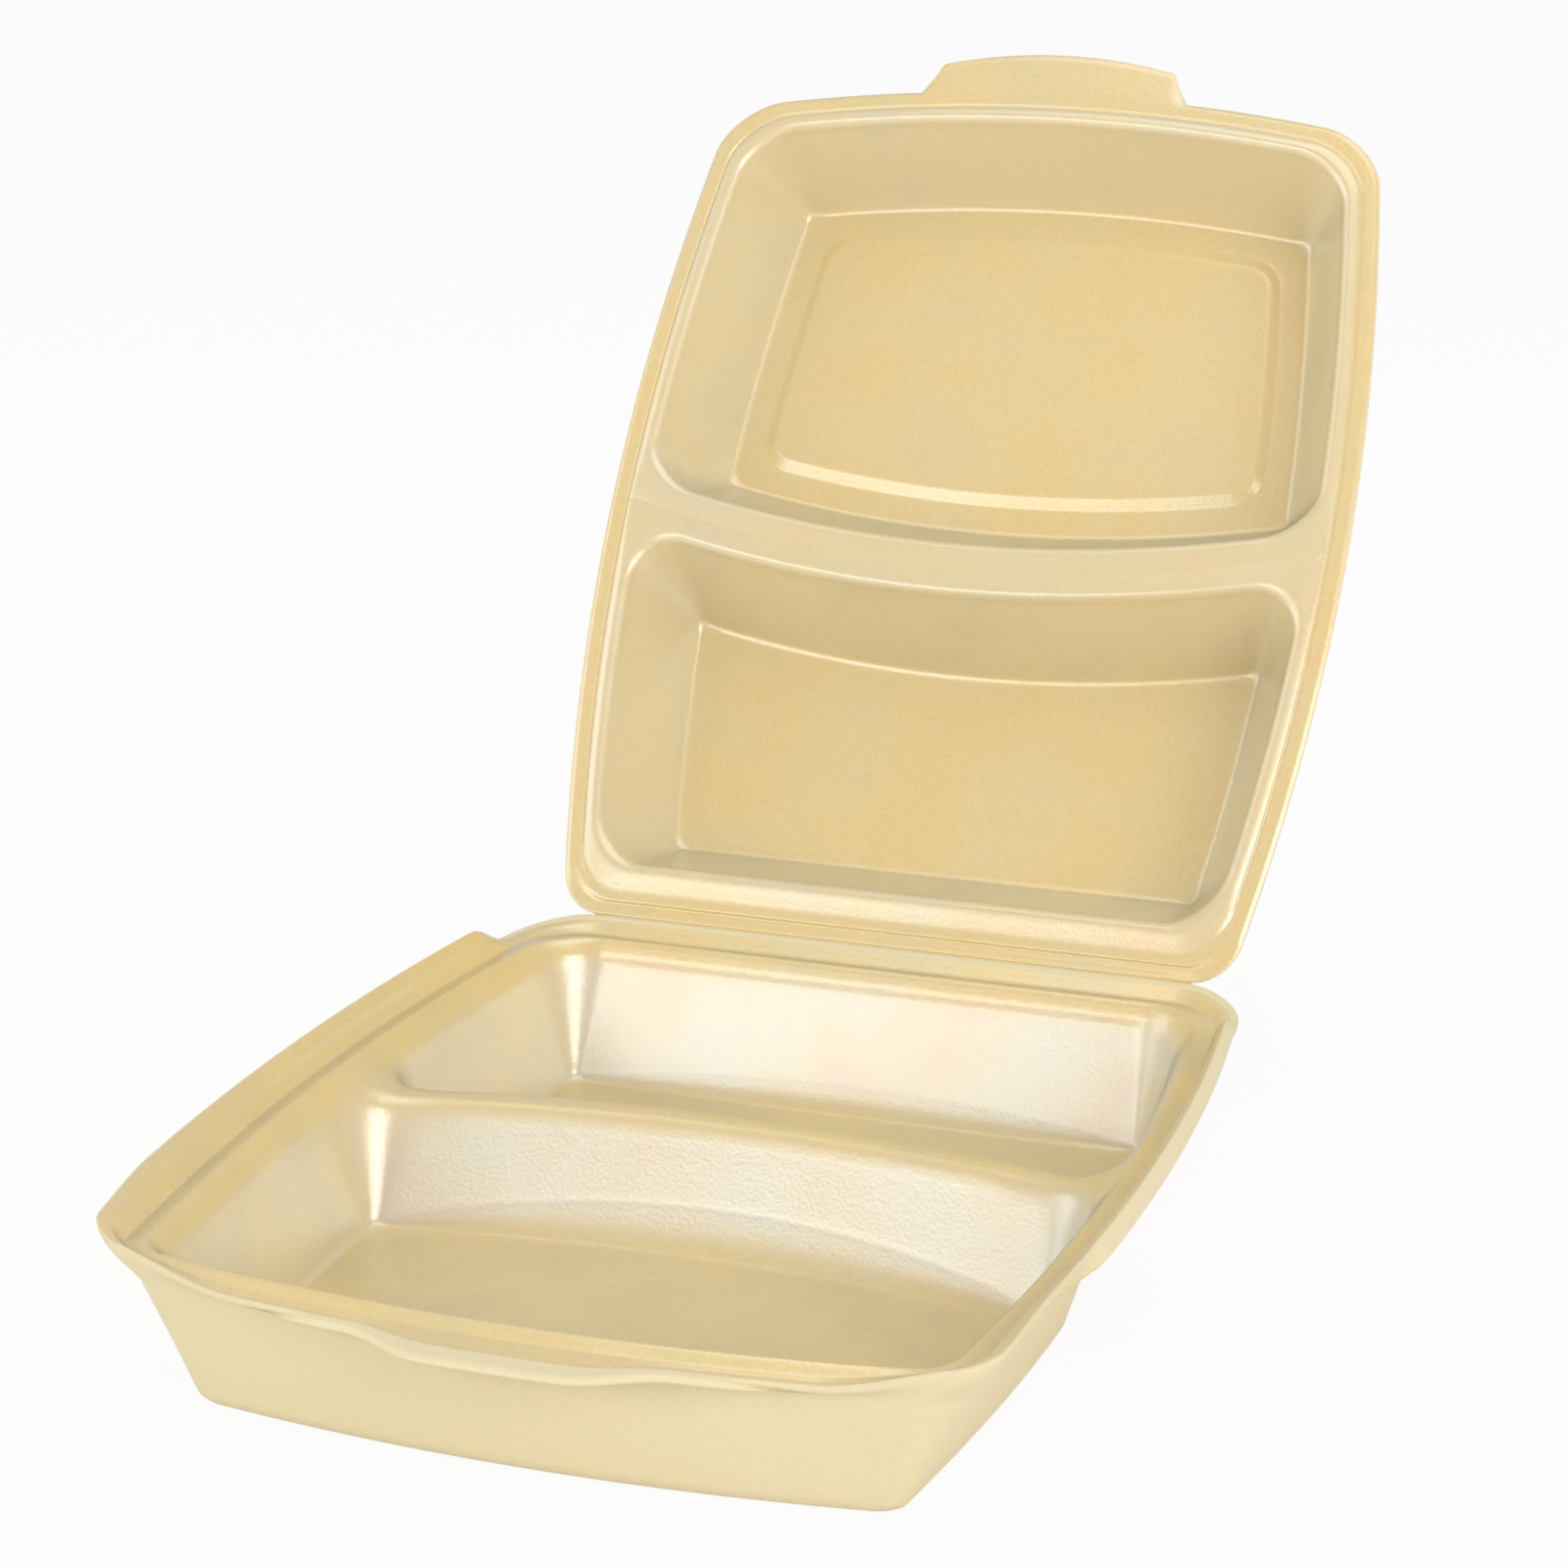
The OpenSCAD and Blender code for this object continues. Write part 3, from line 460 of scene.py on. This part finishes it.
def lid_side(cell, under):
    """Points of one dome of the lid: rim, wall and floor, with the raised panel's slope in the larger dome, and the
    front tab, whose ends slant and whose top edge is a low arc."""
    rim = ([0, 1.2, 3.6, 4.4, 5.0, 7.3, 9.0, 10.0], [-0.8, -0.28, -0.28, -0.7, -0.07, 0.7, -0.28, -2.52])
    back = ([0, 3.15, 4.2, 6.0, 8.25, 12.15, 13.95, 15.0], [-0.16, -0.91, -0.28, -0.35, 0, 0.7, -0.28, -2.52])
    band = ([0, 0, 0, 0, 0, 5.2, 7.0, 8.0], [-0.21, -0.21, -0.21, -0.21, -0.21, 0.21, -0.63, -2.8])
    extra = {"r_corner": np.linspace(16.0, 14.0, 8) if cell == 0 else np.linspace(10.0, 14.0, 8),
             "reach": np.array([1, 0.09, 0, 0, 0, 0, 0, 0]),
             # drawn also paints the lid's walls paler than its floors: painted light on the walls
             "drawn": np.array([0, 0, 0, 0.1, 0.25, 0.35, 0.4, 0.4, 0.4, 0.4, 0.3, 0.1, 0.0])}
    far, near = (rim, band) if cell == 0 else (band, back)
    fillet = LID_FILLET_UNDER if under else LID_FILLET
    rows = wall_rows(far, rim, near, extra, np.full(3, LID_RUN), LID_FLOOR, fillet, LID_GAUGE, under, 0.0, 0.0)
    steps = LID_STEPS
    if cell == 0:
        slope = np.array([-0.5, 0.1, 0.5, 0.9, 1.5])
        up = PANEL_STEP * np.array([0, 0.06, 0.5, 0.94, 1.0])
        for name, foot, run in (("far", 22.2, 4.0), ("side", 22.2, 4.0), ("near", 20.2, 5.2)):
            rows[name + "_in"] = np.concatenate([rows[name + "_in"], foot + PANEL_MARGIN + run * slope])
            rows[name + "_up"] = np.concatenate([rows[name + "_up"], rows[name + "_up"][-1] + up])
        for name in ("r_corner", "r_divider"):
            rows[name] = np.concatenate([rows[name], [8.0, 8.0, 7.0, 6.0, 5.0]])
        for name in ("lift", "spread", "square", "flare", "bead", "reach", "edge", "out", "drawn"):
            rows[name] = np.concatenate([rows[name], np.zeros(5)])
        rows["near_slope"] = np.concatenate([rows["near_slope"], np.ones(5)])
        steps = steps + [3, 3, 4, 4, 3]
    rows = dense(rows, steps)
    u, v, w, far_w, side_w = compartment(cell, rows)
    t = np.abs(u) / TAB_HALF
    slant, arc = np.clip(8.6 * (1 - t) / 0.09, -5, 40), 11.6 - 3.0 * (t / 0.91) ** 2
    tab = np.where(t < 1, np.maximum(-np.log(np.exp(-1.5 * slant) + np.exp(-1.5 * arc)) / 1.5, 0), 0)
    tab = tab * rows["reach"][:, None] * far_w * (cell == 0)
    return np.stack([u, v + tab, w, rows["drawn"][:, None] + 0 * u], -1)


def lid_place(a):
    """The lid leans back from the hinge line by its rest angle."""
    c, s = np.cos(LEAN), np.sin(LEAN)
    return np.stack([a[:, 0], HINGE_Y + a[:, 1] * c - a[:, 2] * s, HINGE_Z + a[:, 1] * s + a[:, 2] * c], -1)


lid_piece = half_mesh("foam_lid", lid_side, sum(LID_STEPS[:4]), 0, lid_place, False)
lid_piece.data.materials.append(film)
lid_piece.data.materials.append(bare)
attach(lid_piece, "lid")
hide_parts("lid")

# The hinge: the strip of the same sheet that is pressed thin between the two halves, so that it folds.
# It runs along the straight part of the back edge and is bent once, to the lid's lean.
STRIP_HALF, STRIP_REACH, STRIP_UP, STRIP_T = 80.0, 2.4, -0.75, 0.34


def strip_points(around, along):
    """A flat bar bent once along its length: an oval section whose width runs from the tray's edge over the hinge
    line to the lid's edge, turning by the lid's lean, and whose ends are rounded off."""
    angle = np.linspace(0, 2 * np.pi, around, endpoint=False)[None, :]
    x = np.linspace(-1, 1, along)[:, None]
    end = np.sqrt(np.clip(1 - np.abs(x) ** 24, 0, 1))
    across = STRIP_REACH * np.sign(np.cos(angle)) * np.abs(np.cos(angle)) ** 0.6 * end
    up = STRIP_UP + STRIP_T * np.sign(np.sin(angle)) * np.abs(np.sin(angle)) ** 0.6 * end
    lean = LEAN * smooth((across + 0.8) / 1.6)
    y = np.where(across < 0, across, across * np.cos(lean)) - up * np.sin(lean)
    z = np.where(across < 0, 0, across * np.sin(lean)) + up * np.cos(lean)
    return np.stack([x * STRIP_HALF + 0 * across, HINGE_Y + y, HINGE_Z + z], -1)


grid = strip_points(40, 60)
faces = strips(np.arange(grid.shape[0] * grid.shape[1]).reshape(grid.shape[:2]))
mesh = bpy.data.meshes.new("hinge_strip")
mesh.from_pydata((grid.reshape(-1, 3) * 0.001).tolist(), [], faces[:, ::-1].tolist())
mesh.polygons.foreach_set("use_smooth", np.ones(len(faces), dtype=bool))
mesh.materials.append(film)
mesh.update()
strip_piece = bpy.data.objects.new("hinge_strip", mesh)
bpy.context.scene.collection.objects.link(strip_piece)
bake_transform(strip_piece)

# The studio: a white floor and soft white light all round, brighter at the horizon than overhead. Soft boxes stand
# in front, to the right, weaker to the left, and above. The camera is to the right of the box, at the height of a
# person who sits at the table.
bpy.ops.mesh.primitive_plane_add(size=14, location=(0, 2, 0))
floor = bpy.context.object
floor.name = "studio_floor"
paper = bpy.data.materials.new("white_backdrop_paper")
paper.use_nodes = True
tree = paper.node_tree
tree.nodes.remove(tree.nodes["Principled BSDF"])
ray = add(tree, "ShaderNodeLightPath", {})
seen = {0: ray.outputs["Is Camera Ray"], 1: ray.outputs["Is Glossy Ray"]}
seen = add(tree, "ShaderNodeMath", seen, operation="MAXIMUM").outputs[0]
seen = add(tree, "ShaderNodeMath", {0: seen, 1: ray.outputs["Is Transmission Ray"]}, operation="MAXIMUM").outputs[0]
bright = add(tree, "ShaderNodeMath", {0: seen, 1: 0.92}, operation="MULTIPLY").outputs[0]
matte = add(tree, "ShaderNodeBsdfDiffuse", {"Color": linear("#F4F3F1")}).outputs[0]
white = add(tree, "ShaderNodeEmission", {"Color": (1, 1, 1, 1), "Strength": 1.0}).outputs[0]
mixed = add(tree, "ShaderNodeMixShader", {0: bright, 1: matte, 2: white}).outputs[0]
tree.links.new(mixed, tree.nodes["Material Output"].inputs["Surface"])
floor.data.materials.append(paper)

world = bpy.data.worlds.new("studio")
bpy.context.scene.world = world
world.use_nodes = True
tree = world.node_tree
way = add(tree, "ShaderNodeTexCoord", {}).outputs["Generated"]
height = add(tree, "ShaderNodeSeparateXYZ", {"Vector": way}).outputs["Z"]
glow = add(tree, "ShaderNodeMapRange", {"Value": height, "To Min": 0.74, "To Max": 0.39}).outputs[0]
tree.links.new(glow, tree.nodes["Background"].inputs["Strength"])
tree.nodes["Background"].inputs["Color"].default_value = (1, 1, 1, 1)


def lamp(name, place, target, width, height, watts):
    """A soft box: a flat lamp of the given size that faces its target."""
    data = bpy.data.lights.new(name, "AREA")
    data.shape, data.size, data.size_y, data.energy = "RECTANGLE", width, height, watts
    made = bpy.data.objects.new(name, data)
    made.location = place
    made.rotation_euler = (Vector(target) - Vector(place)).to_track_quat("-Z", "Y").to_euler()
    bpy.context.scene.collection.objects.link(made)


lamp("front_soft_box", (-0.62, -1.2, 0.6), (0, 0.1, 0.06), 1.0, 0.48, 4.1)
lamp("right_soft_box", (1.25, -0.75, 0.7), (0, 0.12, 0.08), 0.9, 0.9, 10.5)
lamp("left_soft_box", (-1.25, -0.2, 0.6), (0, 0.16, 0.1), 0.9, 0.9, 3.6)
lamp("top_soft_box", (0.2, 0.2, 1.9), (0, 0.1, 0), 1.4, 1.4, 8.0)

camera_data = bpy.data.cameras.new("camera")
camera_data.lens, camera_data.sensor_width = 95.57, 36.0
camera = bpy.data.objects.new("camera", camera_data)
camera.location = (0.3113, -0.7716, 0.3843)
camera.rotation_euler = Vector((-0.3221, 0.9008, -0.2911)).to_track_quat("-Z", "Y").to_euler()
bpy.context.scene.collection.objects.link(camera)
bpy.context.scene.camera = camera
bpy.context.scene.view_settings.view_transform = "Standard"
